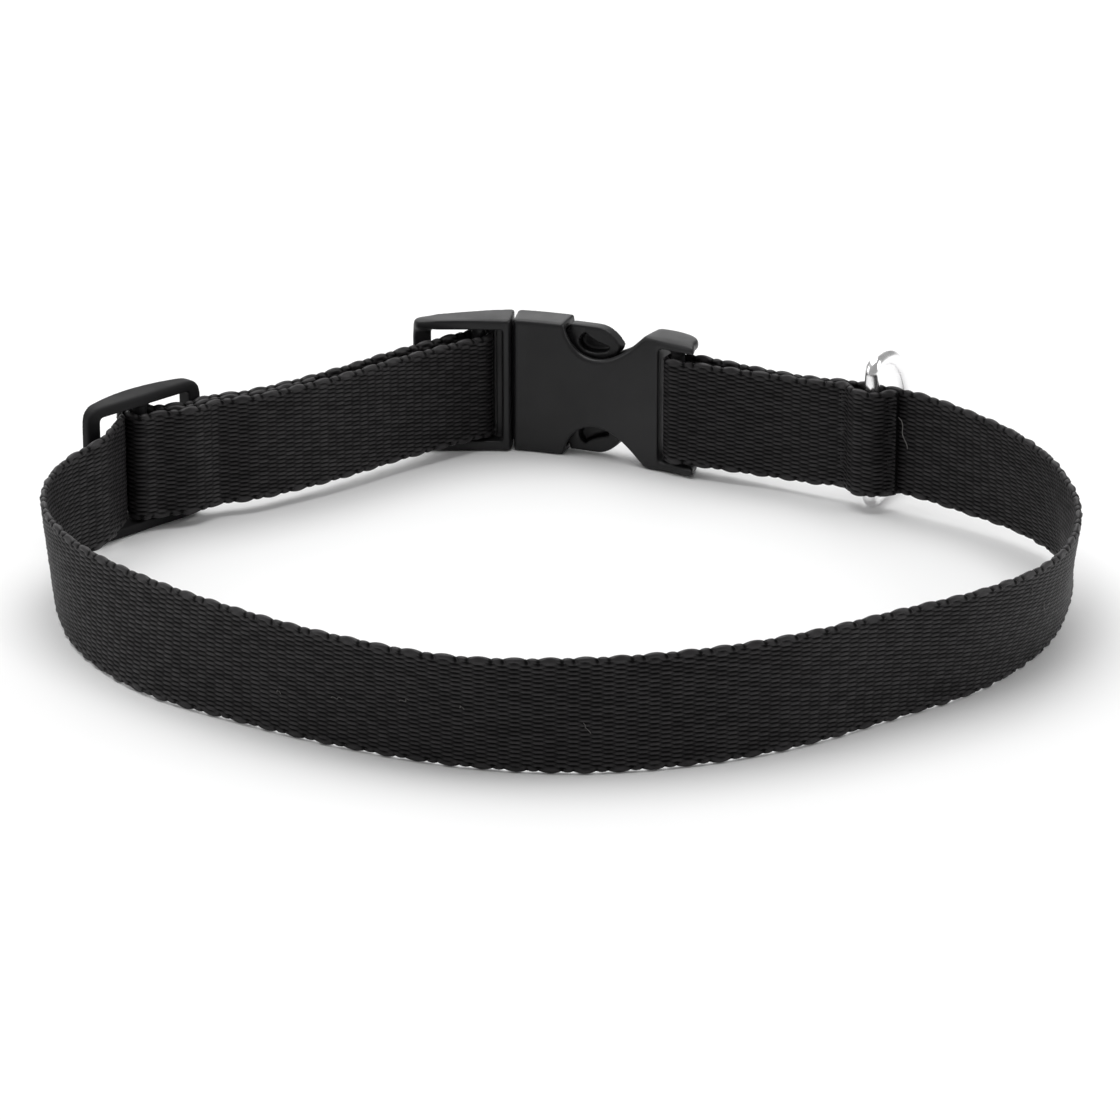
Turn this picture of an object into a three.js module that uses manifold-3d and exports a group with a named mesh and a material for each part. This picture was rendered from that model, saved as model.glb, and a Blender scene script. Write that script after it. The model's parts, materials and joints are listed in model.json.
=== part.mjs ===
import * as THREE from 'three';
import { mergeVertices } from 'three/addons/utils/BufferGeometryUtils.js';
import Module from 'manifold-3d';

// A flat nylon webbing dog collar, fastened, standing on its lower edge.
// Millimetres, +Z up. X runs across the loop and Y from its front to the buckle at its back.
// One strap is folded round three bars: the female buckle's, the male buckle's and the slider's.

const wasm = await Module();
wasm.setup();

// Webbing
const WEBBING_WIDTH = 25;
const WEBBING_THICKNESS = 1.5;
const SELVAGE_CHAMFER = 0.35;
const CLEARANCE = 0.3;
const STRAP_STEP = 4;

// Loop, measured along the strap's middle
const LOOP_WIDTH = 220;
const LOOP_DEPTH = 188;

// Plastic pieces, all as tall as each other so that they stand level
const HARDWARE_HEIGHT = 31.6;
const BAR_DIAMETER = 3.2;
const BAR_DEPTH = 2.6;
const SLOT_CLEARANCE = 0.9;
const EDGE_CHAMFER = 0.5;

// Buckle: lengths run along the strap from the mouth, where the two halves meet
const BUCKLE_THICKNESS = 8;
const BUCKLE_WALL = 1.7;
const MOUTH_YAW_DEG = 7;
const FEMALE_LENGTH = 43.8;
const MOUTH_BLOCK_LENGTH = 11.6;
const WAIST_HEIGHT = 16.4;
const WAIST_FROM_MOUTH = 19.5;
const WING_FROM_MOUTH = 32;
const WING_SLOT_FROM_MOUTH = 35.6;
const FEMALE_BAR_FROM_MOUTH = 39.5;
const CAVITY_LENGTH = 30;
const WING_HUMP = 0.8;
const WING_HUMP_RAMP = 1;
const WING_END_THICKNESS = 3;
const WING_END_SLANT = 2;
const BASE_LENGTH = 22.8;
const MALE_FACE_PROUD = 0.8;
const BASE_END_THICKNESS = 3.9;
const BASE_END_ROUND = 2;
const BASE_TAPER = 0.2;
const END_BAR_LENGTH = 4.2;
const END_BAR_RECESS = 1.2;
const MOUTH_GAP = 0.6;
const LIP_LENGTH = 1.8;
const BACK_WALL_LENGTH = 1.7;
const BACK_WALL_RECESS = 3;
const BACK_LIP_LENGTH = 2.4;
const BACK_LIP_DEPTH = 6.5;
const MALE_BAR_FROM_MOUTH = 7.9;
const EAR_LENGTH = 24.6;
const EAR_HEIGHT_DROP = 0.6;
const ARM_RECESS = 1;
const EAR_GAP = 0.8;
const EAR_CROWN_BACK = 1;
const ARM_WIDTH = 5;
const EAR_POCKET_DEPTH = 2.4;
const EAR_POCKET_INSET = 2.5;
const EAR_POCKET_LENGTH = 7.6;
const EAR_POCKET_HEIGHT = 4.4;
const ROOT_LENGTH = 3.5;
const GUIDE_LENGTH = 20;
const GUIDE_HEIGHT = 6;
const GUIDE_INSET = 1;

// Slider
const SLIDER_LENGTH = 32.6;
const SLIDER_YAW_DEG = 45;
const SLIDER_END_BAR = 3.5;
const SLIDER_END_THICKNESS = 2.4;
const SLIDER_ARCH = 3.6;
const SLIDER_CORNER = 4;
const SLIDER_BAR_DEPTH = 2;
const SLIDER_SAG = 4;
const SLIDER_EXIT_GAP = 1;
const EXIT_LIFT = 0.1;

// D-ring
const WIRE_DIAMETER = 3.4;
const RING_SLACK = 1.9;
const RING_DEPTH = 20;
const RING_CORNER = 2.2;
const RING_FROM_BUCKLE = 49.4;
const RING_SWING_DEG = 4;
const WIRE_SIDES = 12;

// Doubled stretches
const SPREAD_LENGTH = 30;
const SEWN_END_PAST_RING = 6;
const TAIL_LENGTH = 26;

// Stations round the loop, as shares: across of half the loop's width, back of its depth from the
// front, lift of the strap's rise in the slots of the plastic pieces, lean (how far the top edge
// leans outwards) of the webbing's width.
const RIGHT_AND_FRONT = [
  { across: 0.423, back: 0.882, lift: 0.95, lean: 0 },
  { across: 0.515, back: 0.848, lift: 1.1, lean: 0 },
  { across: 0.586, back: 0.825, lift: 1.36, lean: 0 },
  { across: 0.650, back: 0.804, lift: 1.42, lean: 0 },
  { across: 0.721, back: 0.778, lift: 1.38, lean: 0 },
  { across: 0.813, back: 0.733, lift: 1.1, lean: -0.04 },
  { across: 0.902, back: 0.674, lift: 0.95, lean: -0.12 },
  { across: 0.965, back: 0.606, lift: 0.7, lean: -0.15 },
  { across: 0.985, back: 0.531, lift: 0.5, lean: -0.07 },
  { across: 0.982, back: 0.457, lift: 0.25, lean: 0.08 },
  { across: 0.952, back: 0.372, lift: 0.05, lean: 0.18 },
  { across: 0.892, back: 0.296, lift: 0, lean: 0.22 },
  { across: 0.781, back: 0.216, lift: 0, lean: 0.16 },
  { across: 0.607, back: 0.140, lift: 0, lean: 0.08 },
  { across: 0.427, back: 0.069, lift: 0, lean: 0.02 },
  { across: 0.251, back: 0.025, lift: 0, lean: 0 },
  { across: 0.036, back: 0.001, lift: 0, lean: 0.02 },
  { across: -0.180, back: 0.013, lift: 0, lean: 0.1 },
  { across: -0.397, back: 0.068, lift: 0, lean: 0.06 },
  { across: -0.577, back: 0.136, lift: 0, lean: 0 },
  { across: -0.764, back: 0.226, lift: 0, lean: -0.1 },
  { across: -0.900, back: 0.332, lift: 0, lean: 0 },
  { across: -0.968, back: 0.436, lift: 0.1, lean: 0.1 },
  { across: -0.984, back: 0.525, lift: 0.1, lean: 0.08 },
  { across: -0.962, back: 0.592, lift: 0.35, lean: 0.02 },
];
const SLIDER_TO_BUCKLE = [
  { across: -0.631, back: 0.804, lift: 1, lean: 0 },
  { across: -0.532, back: 0.845, lift: 1, lean: 0 },
  { across: -0.436, back: 0.894, lift: 1, lean: 0 },
  { across: -0.368, back: 0.934, lift: 1, lean: 0 },
];
const SLIDER_PLACE = { across: -0.824, back: 0.725 };
const MOUTH_PLACE = { across: -0.097, back: 1 };

// Where the pocket of the inner layer opens and shuts round the ring's bar, past the bar
const POCKET = { rises: -7.5, full: -2.2, falls: 1.2, shut: 5.2 };

// How the buckle is bent to a neck's curve: its turn at lengths from the mouth, in degrees
const BUCKLE_BEND = [
  { along: -6, turn: -9.5 },
  { along: 4, turn: 9 },
  { along: 45, turn: 31 },
];
const BEND_STEP = 5;

// Handles of the curves into and out of the female buckle's waist, as shares of its drop
const WAIST_CURVE = {
  blockOut: 0.1, blockUp: 0.35, before: 0.5, after: 0.6, wingBack: 0.5, wingUp: 0.5,
};

// The crescent pocket in each ear, as shares of its box from the lower left: each row is a
// curve's handle and its end, and the last row ends where the first one starts
const EAR_POCKET = [
  { handleAlong: -0.067, handleUp: 0.6, along: 0.133, up: 0.2 },
  { handleAlong: 0.333, handleUp: -0.1, along: 0.733, up: 0.05 },
  { handleAlong: 1, handleUp: 0.12, along: 1, up: 0.4 },
  { handleAlong: 0.433, handleUp: 0.6, along: 0.233, up: 1 },
];

// The strap's way through the slider: where it lies on the fold, as turns round the bar, and how
// far its feet on both sides lie from the fold's foot to the slider's end, as a share
const CROWN_TURNS_DEG = [168.5, 135, 90, 45, 11.5];
const FOOT_SHARE = 0.35;
const FOOT_SAG_SHARE = 0.3;

// The inner layer's way to the slider's bar, as shares of half the slider's length, and the share
// from which it lies level
const TO_BAR_SHARES = [0.8, 0.6, 0.42, 0.27, 0.14];
const LEVEL_SHARE = 0.62;

// The tail's way down off the fold, as shares of its drop
const TAIL_DROP = [
  { along: 0, down: 0 },
  { along: 0.25, down: 0.25 },
  { along: 0.5, down: 0.5 },
  { along: 0.75, down: 0.75 },
  { along: 1.05, down: 0.98 },
  { along: 1.35, down: 1 },
];

// How finely curves are divided
const CURVE_SEGMENTS = 8;
const BAR_SIDES = 16;
const FOLD_STEPS = 10;
const RING_CURVE_STEPS = 7;
const BEND_SAMPLES = 30;
const RAIL_SAMPLES = 3000;

const HALF_HEIGHT = HARDWARE_HEIGHT / 2;
const SLOT_HALF = WEBBING_WIDTH / 2 + SLOT_CLEARANCE;
const FOLD_RADIUS = BAR_DIAMETER / 2 + CLEARANCE + WEBBING_THICKNESS / 2;
const LAYER_PITCH = WEBBING_THICKNESS + CLEARANCE;
const STRAP_RISE = HALF_HEIGHT - SLOT_HALF + CLEARANCE;
const CUT_MARGIN = 2;

const nylon = new THREE.MeshStandardMaterial({ color: 0x1c1b1c, roughness: 0.85, metalness: 0 });
const acetal = new THREE.MeshStandardMaterial({ color: 0x242426, roughness: 0.5, metalness: 0 });
const chromed = new THREE.MeshStandardMaterial({ color: 0xdfe0e4, roughness: 0.12, metalness: 1 });

// Solids
function solid(geometry) {
  const bare = geometry.clone();
  bare.deleteAttribute('normal');
  bare.deleteAttribute('uv');
  const merged = mergeVertices(bare, 1e-4);
  return new wasm.Manifold(new wasm.Mesh({
    numProp: 3,
    vertProperties: new Float32Array(merged.attributes.position.array),
    triVerts: new Uint32Array(merged.index.array),
  }));
}

function geometryOf(manifold) {
  const mesh = manifold.getMesh();
  const geometry = new THREE.BufferGeometry();
  geometry.setAttribute('position', new THREE.BufferAttribute(mesh.vertProperties, 3));
  geometry.setIndex(new THREE.BufferAttribute(mesh.triVerts, 1));
  return geometry;
}

// A plate with its outline in X and Z, from depth y0 to depth y1, its edges chamfered
function plate(outline, y0, y1, chamfer = 0) {
  const geometry = new THREE.ExtrudeGeometry(outline, {
    depth: y1 - y0 - 2 * chamfer,
    curveSegments: CURVE_SEGMENTS,
    bevelEnabled: chamfer > 0,
    bevelThickness: chamfer,
    bevelSize: chamfer,
    bevelOffset: -chamfer,
    bevelSegments: 1,
  });
  geometry.rotateX(Math.PI / 2);
  geometry.translate(0, y1 - chamfer, 0);
  return solid(geometry);
}

// A block with its side view in X and Y, over the height from z0 to z1
function sideBlock(outline, z0, z1) {
  const geometry = new THREE.ExtrudeGeometry(outline, {
    depth: z1 - z0, curveSegments: CURVE_SEGMENTS, bevelEnabled: false,
  });
  geometry.translate(0, 0, z0);
  return solid(geometry);
}

function box(x0, x1, y0, y1, z0, z1) {
  const geometry = new THREE.BoxGeometry(x1 - x0, y1 - y0, z1 - z0);
  geometry.translate((x0 + x1) / 2, (y0 + y1) / 2, (z0 + z1) / 2);
  return solid(geometry);
}

// The upright round bar that the webbing folds round
function foldBar(x, y) {
  const length = 2 * (SLOT_HALF + CLEARANCE);
  const radius = BAR_DIAMETER / 2;
  const geometry = new THREE.CylinderGeometry(radius, radius, length, BAR_SIDES);
  geometry.rotateX(Math.PI / 2);
  geometry.translate(x, y, 0);
  return solid(geometry);
}

// Joins equal rings of points, given in order, into one closed body
function loft(rings, closed) {
  const count = rings[0].length;
  const positions = rings.flat().flatMap((point) => point.toArray());
  const faces = [];
  const spans = closed ? rings.length : rings.length - 1;
  for (let i = 0; i < spans; i += 1) {
    const here = i * count;
    const next = ((i + 1) % rings.length) * count;
    for (let k = 0; k < count; k += 1) {
      const j = (k + 1) % count;
      faces.push(here + k, next + k, next + j, here + k, next + j, here + j);
    }
  }
  if (!closed) {
    const last = (rings.length - 1) * count;
    for (let k = 1; k < count - 1; k += 1) {
      faces.push(0, k, k + 1);
      faces.push(last, last + k + 1, last + k);
    }
  }
  const geometry = new THREE.BufferGeometry();
  geometry.setAttribute('position', new THREE.Float32BufferAttribute(positions, 3));
  geometry.setIndex(faces);
  return geometry;
}

// Splits every edge longer than step along X at its middle, longest first, so that a bend
// stays smooth
function splitAlongX(geometry, step) {
  const points = [];
  const source = geometry.attributes.position;
  for (let i = 0; i < source.count; i += 1) {
    points.push([source.getX(i), source.getY(i), source.getZ(i)]);
  }
  const middles = new Map();
  const middle = (a, b) => {
    const key = a < b ? `${a} ${b}` : `${b} ${a}`;
    if (!middles.has(key)) {
      middles.set(key, points.length);
      points.push(points[a].map((value, axis) => (value + points[b][axis]) / 2));
    }
    return middles.get(key);
  };
  const reach = (a, b) => Math.abs(points[a][0] - points[b][0]);
  const waiting = [];
  for (let i = 0; i < geometry.index.count; i += 3) {
    waiting.push([0, 1, 2].map((k) => geometry.index.getX(i + k)));
  }
  const faces = [];
  while (waiting.length > 0) {
    const [a, b, c] = waiting.pop();
    const [ab, bc, ca] = [reach(a, b), reach(b, c), reach(c, a)];
    const longest = Math.max(ab, bc, ca);
    if (longest <= step) {
      faces.push(a, b, c);
      continue;
    }
    const [p, q, r] = longest === ab ? [a, b, c] : longest === bc ? [b, c, a] : [c, a, b];
    const m = middle(p, q);
    waiting.push([p, m, r], [m, q, r]);
  }
  const result = new THREE.BufferGeometry();
  result.setAttribute('position', new THREE.Float32BufferAttribute(points.flat(), 3));
  result.setIndex(faces);
  return result;
}

// Buckle
const radians = THREE.MathUtils.degToRad;
const smooth = THREE.MathUtils.smoothstep;

function bendTurn(along) {
  const last = BUCKLE_BEND.length - 1;
  if (along <= BUCKLE_BEND[0].along) return radians(BUCKLE_BEND[0].turn);
  if (along >= BUCKLE_BEND[last].along) return radians(BUCKLE_BEND[last].turn);
  const i = BUCKLE_BEND.findIndex((row) => row.along > along);
  const [from, to] = [BUCKLE_BEND[i - 1], BUCKLE_BEND[i]];
  const share = (along - from.along) / (to.along - from.along);
  return radians(THREE.MathUtils.lerp(from.turn, to.turn, share));
}

// Where a point of the flat buckle lies once the buckle is bent, x along it and y outwards
function bendPoint(x, y) {
  let [alongX, alongY] = [0, 0];
  for (let i = 0; i < BEND_SAMPLES; i += 1) {
    const turn = bendTurn(x * (i + 0.5) / BEND_SAMPLES);
    alongX += x / BEND_SAMPLES * Math.cos(turn);
    alongY -= x / BEND_SAMPLES * Math.sin(turn);
  }
  const turn = bendTurn(x);
  return [alongX + y * Math.sin(turn), alongY + y * Math.cos(turn)];
}

function bent(manifold) {
  const geometry = splitAlongX(geometryOf(manifold), BEND_STEP);
  const position = geometry.attributes.position;
  for (let i = 0; i < position.count; i += 1) {
    const [x, y] = bendPoint(position.getX(i), position.getY(i));
    position.setXY(i, x, y);
  }
  return geometry;
}

// The same outline on the lower side of the strap's middle
function lowered(outline) {
  const upper = outline.getPoints(CURVE_SEGMENTS).reverse();
  return upper.map((point) => new THREE.Vector2(point.x, -point.y));
}

// The upper half of an outline is drawn, and its mirror image below closes it
function mirrored(upper) {
  return new THREE.Shape([...upper.getPoints(CURVE_SEGMENTS), ...lowered(upper)]);
}

function femaleOutline() {
  const waist = WAIST_HEIGHT / 2;
  const drop = HALF_HEIGHT - waist;
  const curve = WAIST_CURVE;
  const end = FEMALE_LENGTH + WING_END_SLANT;
  const upper = new THREE.Path();
  upper.moveTo(0, HALF_HEIGHT);
  upper.lineTo(MOUTH_BLOCK_LENGTH, HALF_HEIGHT);
  upper.bezierCurveTo(
    MOUTH_BLOCK_LENGTH + curve.blockOut * drop, waist + curve.blockUp * drop,
    WAIST_FROM_MOUTH - curve.before * drop, waist, WAIST_FROM_MOUTH, waist);
  upper.bezierCurveTo(
    WAIST_FROM_MOUTH + curve.after * drop, waist,
    WING_FROM_MOUTH - curve.wingBack * drop, waist + curve.wingUp * drop,
    WING_FROM_MOUTH, HALF_HEIGHT);
  upper.lineTo(end - EDGE_CHAMFER, HALF_HEIGHT);
  upper.lineTo(end, HALF_HEIGHT - EDGE_CHAMFER);
  return mirrored(upper);
}

function femaleSideView() {
  const side = new THREE.Shape();
  side.moveTo(0, 0);
  side.lineTo(FEMALE_LENGTH + WING_END_SLANT, 0);
  side.lineTo(FEMALE_LENGTH, WING_END_THICKNESS);
  side.quadraticCurveTo(FEMALE_LENGTH - EDGE_CHAMFER, BUCKLE_THICKNESS + WING_HUMP,
    WING_SLOT_FROM_MOUTH, BUCKLE_THICKNESS + WING_HUMP);
  side.quadraticCurveTo(WING_FROM_MOUTH + WING_HUMP_RAMP, BUCKLE_THICKNESS + WING_HUMP,
    WING_FROM_MOUTH - WING_HUMP_RAMP, BUCKLE_THICKNESS);
  side.lineTo(EDGE_CHAMFER, BUCKLE_THICKNESS);
  side.lineTo(0, BUCKLE_THICKNESS - EDGE_CHAMFER);
  return side;
}

// The hollow half: a flat box open at its mouth and sides, with a bar between two wings
function femaleBuckle() {
  const cavityHalf = HALF_HEIGHT - BUCKLE_WALL;
  return plate(femaleOutline(), 0, 2 * BUCKLE_THICKNESS, EDGE_CHAMFER)
    .intersect(sideBlock(femaleSideView(), -HARDWARE_HEIGHT, HARDWARE_HEIGHT))
    .subtract(box(-CUT_MARGIN, CAVITY_LENGTH, BUCKLE_WALL, BUCKLE_THICKNESS - BUCKLE_WALL,
      -cavityHalf, cavityHalf))
    .subtract(box(WING_SLOT_FROM_MOUTH, FEMALE_LENGTH + WING_END_SLANT + CUT_MARGIN,
      -CUT_MARGIN, 2 * BUCKLE_THICKNESS, -SLOT_HALF, SLOT_HALF))
    .add(foldBar(FEMALE_BAR_FROM_MOUTH, BAR_DEPTH));
}

function maleSideView() {
  const side = new THREE.Shape();
  side.moveTo(-MOUTH_GAP, 0);
  side.lineTo(-MOUTH_GAP, BUCKLE_THICKNESS - EDGE_CHAMFER);
  side.lineTo(-MOUTH_GAP - EDGE_CHAMFER, BUCKLE_THICKNESS);
  side.lineTo(-BASE_LENGTH + BASE_END_ROUND, BASE_END_THICKNESS + BASE_END_ROUND / 4);
  side.quadraticCurveTo(-BASE_LENGTH, BASE_END_THICKNESS, -BASE_LENGTH, BASE_END_THICKNESS / 2);
  side.lineTo(-BASE_LENGTH + EDGE_CHAMFER, 0);
  side.lineTo(-MOUTH_GAP - LIP_LENGTH - EDGE_CHAMFER, -MALE_FACE_PROUD);
  side.lineTo(-MOUTH_GAP - EDGE_CHAMFER, -MALE_FACE_PROUD);
  return side;
}

// One spring arm, from the base to the rounded ear that fills the female's side notch
function armOutline() {
  const inner = HALF_HEIGHT - BUCKLE_WALL - CLEARANCE - ARM_WIDTH;
  const armTop = HALF_HEIGHT - BUCKLE_WALL - CLEARANCE;
  const earTop = HALF_HEIGHT - EAR_HEIGHT_DROP;
  const earStart = MOUTH_BLOCK_LENGTH + EAR_GAP;
  const arm = new THREE.Shape();
  arm.moveTo(-LIP_LENGTH, inner);
  arm.lineTo(WAIST_FROM_MOUTH, inner - ARM_WIDTH / 3);
  arm.quadraticCurveTo(EAR_LENGTH, inner, EAR_LENGTH, inner + ARM_WIDTH / 2);
  arm.quadraticCurveTo(EAR_LENGTH - ARM_WIDTH / 2, earTop,
    WAIST_FROM_MOUTH - EAR_CROWN_BACK, earTop);
  arm.lineTo(earStart, earTop);
  arm.lineTo(earStart, armTop);
  arm.lineTo(-LIP_LENGTH, armTop);
  return arm;
}

// The crescent pocket moulded into the face of each ear
function earPocket() {
  const left = MOUTH_BLOCK_LENGTH + EAR_POCKET_INSET;
  const low = HALF_HEIGHT - EAR_POCKET_INSET - EAR_POCKET_HEIGHT;
  const place = (along, up) => [left + along * EAR_POCKET_LENGTH, low + up * EAR_POCKET_HEIGHT];
  const start = EAR_POCKET[EAR_POCKET.length - 1];
  const pocket = new THREE.Shape();
  pocket.moveTo(...place(start.along, start.up));
  EAR_POCKET.forEach((row) => pocket.quadraticCurveTo(
    ...place(row.handleAlong, row.handleUp), ...place(row.along, row.up)));
  return pocket;
}

// The male half: an open frame with a bar, a root plate in the mouth, two spring arms and a
// middle guide
function maleBuckle() {
  const armInner = BUCKLE_WALL + CLEARANCE;
  const armOuter = BUCKLE_THICKNESS - BUCKLE_WALL - CLEARANCE;
  const rootHalf = HALF_HEIGHT - BUCKLE_WALL - CLEARANCE;
  const wallEnd = -MOUTH_GAP - LIP_LENGTH - BACK_WALL_LENGTH;
  const slotStart = -BASE_LENGTH + END_BAR_LENGTH;
  const frame = new THREE.Shape();
  frame.moveTo(-BASE_LENGTH, -HALF_HEIGHT + BASE_TAPER);
  frame.lineTo(-BASE_LENGTH / 2, -HALF_HEIGHT);
  frame.lineTo(-MOUTH_GAP, -HALF_HEIGHT);
  frame.lineTo(-MOUTH_GAP, HALF_HEIGHT);
  frame.lineTo(-BASE_LENGTH / 2, HALF_HEIGHT);
  frame.lineTo(-BASE_LENGTH, HALF_HEIGHT - BASE_TAPER);
  const base = plate(frame, -MALE_FACE_PROUD, 2 * BUCKLE_THICKNESS, EDGE_CHAMFER)
    .intersect(sideBlock(maleSideView(), -HARDWARE_HEIGHT, HARDWARE_HEIGHT))
    .subtract(box(slotStart, wallEnd, -CUT_MARGIN, BACK_LIP_DEPTH, -SLOT_HALF, SLOT_HALF))
    .subtract(box(slotStart, wallEnd - BACK_LIP_LENGTH,
      -CUT_MARGIN, 2 * BUCKLE_THICKNESS, -SLOT_HALF, SLOT_HALF))
    .subtract(box(-BASE_LENGTH - CUT_MARGIN, slotStart + CUT_MARGIN,
      -CUT_MARGIN, END_BAR_RECESS, -SLOT_HALF, SLOT_HALF))
    .subtract(box(wallEnd - CUT_MARGIN, -MOUTH_GAP - LIP_LENGTH,
      -CUT_MARGIN, BACK_WALL_RECESS, -SLOT_HALF, SLOT_HALF))
    .add(foldBar(-MALE_BAR_FROM_MOUTH, BAR_DEPTH));
  const armFace = armInner + ARM_RECESS;
  const arm = (outline, pocket) => plate(outline, armFace, armOuter)
    .subtract(plate(pocket, armFace - CUT_MARGIN, armFace + EAR_POCKET_DEPTH));
  return base
    .add(arm(armOutline(), earPocket()))
    .add(arm(new THREE.Shape(lowered(armOutline())), new THREE.Shape(lowered(earPocket()))))
    .add(box(-LIP_LENGTH, ROOT_LENGTH, armInner, armOuter, -rootHalf, rootHalf))
    .add(box(-LIP_LENGTH, GUIDE_LENGTH, armInner + GUIDE_INSET, armOuter - GUIDE_INSET,
      -GUIDE_HEIGHT / 2, GUIDE_HEIGHT / 2));
}

// Slider
function sliderSideView() {
  const half = SLIDER_LENGTH / 2;
  const side = new THREE.Shape();
  side.moveTo(-half, 0);
  side.lineTo(half, 0);
  side.lineTo(half, SLIDER_END_THICKNESS);
  side.quadraticCurveTo(0, SLIDER_END_THICKNESS + 2 * SLIDER_ARCH, -half, SLIDER_END_THICKNESS);
  return side;
}

function sliderOutline() {
  const half = SLIDER_LENGTH / 2;
  const upper = new THREE.Path();
  upper.moveTo(-half, HALF_HEIGHT - SLIDER_CORNER);
  upper.quadraticCurveTo(-half, HALF_HEIGHT, -half + SLIDER_CORNER, HALF_HEIGHT);
  upper.lineTo(half - SLIDER_CORNER, HALF_HEIGHT);
  upper.quadraticCurveTo(half, HALF_HEIGHT, half, HALF_HEIGHT - SLIDER_CORNER);
  return mirrored(upper);
}

// An arched frame whose two slots are parted by the bar that holds the sewn fold
function triGlide() {
  const window = SLIDER_LENGTH / 2 - SLIDER_END_BAR;
  return plate(sliderOutline(), 0, 3 * SLIDER_ARCH + SLIDER_END_THICKNESS, EDGE_CHAMFER)
    .intersect(sideBlock(sliderSideView(), -HARDWARE_HEIGHT, HARDWARE_HEIGHT))
    .subtract(box(-window, window, -CUT_MARGIN, 3 * SLIDER_ARCH + SLIDER_END_THICKNESS,
      -SLOT_HALF, SLOT_HALF))
    .add(foldBar(0, SLIDER_BAR_DEPTH));
}

// Places
function planPoint({ across, back }) {
  return new THREE.Vector2(across * LOOP_WIDTH / 2, back * LOOP_DEPTH);
}

function placedGroup(place, yawDeg) {
  const group = new THREE.Group();
  const at = planPoint(place);
  group.position.set(at.x, at.y, HALF_HEIGHT);
  group.rotation.z = radians(yawDeg);
  group.updateMatrixWorld();
  return group;
}

function planOf(group, x, y) {
  const world = group.localToWorld(new THREE.Vector3(x, y, 0));
  return new THREE.Vector2(world.x, world.y);
}

const buckle = placedGroup(MOUTH_PLACE, -MOUTH_YAW_DEG);
const slider = placedGroup(SLIDER_PLACE, SLIDER_YAW_DEG);
const femaleBar = planOf(buckle, ...bendPoint(FEMALE_BAR_FROM_MOUTH, BAR_DEPTH));
const maleBar = planOf(buckle, ...bendPoint(-MALE_BAR_FROM_MOUTH, BAR_DEPTH));

// The strap's line
// It leaves the female bar's outer side, goes round the loop through the slider, and comes to
// the male bar's outer side. Each point holds the rise of the lower edge as its Z.
const railPoints = [];
const railLeans = [];

function addRail(point, lift, lean) {
  railPoints.push(new THREE.Vector3(point.x, point.y, lift * STRAP_RISE));
  railLeans.push(new THREE.Vector3(lean * WEBBING_WIDTH, 0, 0));
}

function addRows(rows) {
  rows.forEach((row) => addRail(planPoint(row), row.lift, row.lean));
}

// The two points where the strap comes off a bar towards another point
function offBar(bar, towards, side) {
  const way = towards.clone().sub(bar).normalize();
  const out = new THREE.Vector2(-way.y, way.x).multiplyScalar(side * FOLD_RADIUS);
  const near = bar.clone().add(out);
  return [near, near.clone().addScaledVector(way, STRAP_STEP)];
}

// Over the fold on the slider's bar and inside both of its end bars
function addSliderRail() {
  const over = FOLD_RADIUS + LAYER_PITCH;
  const under = -CLEARANCE - WEBBING_THICKNESS / 2;
  const foldFoot = over * Math.SQRT2 + SLIDER_BAR_DEPTH - under;
  const end = SLIDER_LENGTH / 2;
  const foot = foldFoot + FOOT_SHARE * (end - foldFoot);
  const entry = [[-end, under - SLIDER_SAG], [-foot, under - FOOT_SAG_SHARE * SLIDER_SAG]];
  const crown = CROWN_TURNS_DEG.map((turn) => [
    over * Math.cos(radians(turn)), SLIDER_BAR_DEPTH + over * Math.sin(radians(turn))]);
  const exit = [[foot, under + EXIT_LIFT], [end + SLIDER_EXIT_GAP, under]];
  [...entry, ...crown, ...exit].forEach(([x, y]) => addRail(planOf(slider, x, y), 1, 0));
}

const femaleWay = planPoint(RIGHT_AND_FRONT[0]);
const maleWay = planPoint(SLIDER_TO_BUCKLE[SLIDER_TO_BUCKLE.length - 1]);
offBar(femaleBar, femaleWay, 1).forEach((point) => addRail(point, 1, 0));
addRows(RIGHT_AND_FRONT);
addSliderRail();
addRows(SLIDER_TO_BUCKLE);
offBar(maleBar, maleWay, -1).reverse().forEach((point) => addRail(point, 1, 0));

const rail = new THREE.CatmullRomCurve3(railPoints, false, 'centripetal');
const railLean = new THREE.CatmullRomCurve3(railLeans, false, 'catmullrom', 0.5);
rail.arcLengthDivisions = RAIL_SAMPLES;
const RAIL_LENGTH = rail.getLength();

// The strap's section at a length along the rail, moved inwards by the layer's distance
function railSection(along, inwards) {
  const t = rail.getUtoTmapping(along / RAIL_LENGTH);
  const point = rail.getPoint(t);
  const way = rail.getTangent(t).setZ(0).normalize();
  const out = new THREE.Vector3(-way.y, way.x, 0);
  const lean = railLean.getPoint(t).x;
  return { at: point.addScaledVector(out, -inwards), tip: out.clone().multiplyScalar(lean), out, way };
}

function railLengthAt(point) {
  let best = [Infinity, 0];
  for (let i = 0; i <= RAIL_SAMPLES; i += 1) {
    const here = rail.getPointAt(i / RAIL_SAMPLES);
    const far = Math.hypot(here.x - point.x, here.y - point.y);
    if (far < best[0]) best = [far, i / RAIL_SAMPLES * RAIL_LENGTH];
  }
  return best[1];
}

const range = (from, to, step) => {
  const count = Math.max(1, Math.round(Math.abs(to - from) / step));
  return Array.from({ length: count + 1 }, (_, i) => from + (to - from) * i / count);
};

// Half a turn round a bar, starting from the given side
function foldRound(bar, way, startOut) {
  const sections = [];
  for (let i = 1; i < FOLD_STEPS; i += 1) {
    const angle = Math.PI * i / FOLD_STEPS;
    const at = bar.clone()
      .addScaledVector(startOut, FOLD_RADIUS * Math.cos(angle))
      .addScaledVector(way, FOLD_RADIUS * Math.sin(angle));
    sections.push({ at: new THREE.Vector3(at.x, at.y, STRAP_RISE), tip: new THREE.Vector3() });
  }
  return sections;
}

const flat = (vector) => new THREE.Vector2(vector.x, vector.y);

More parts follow.
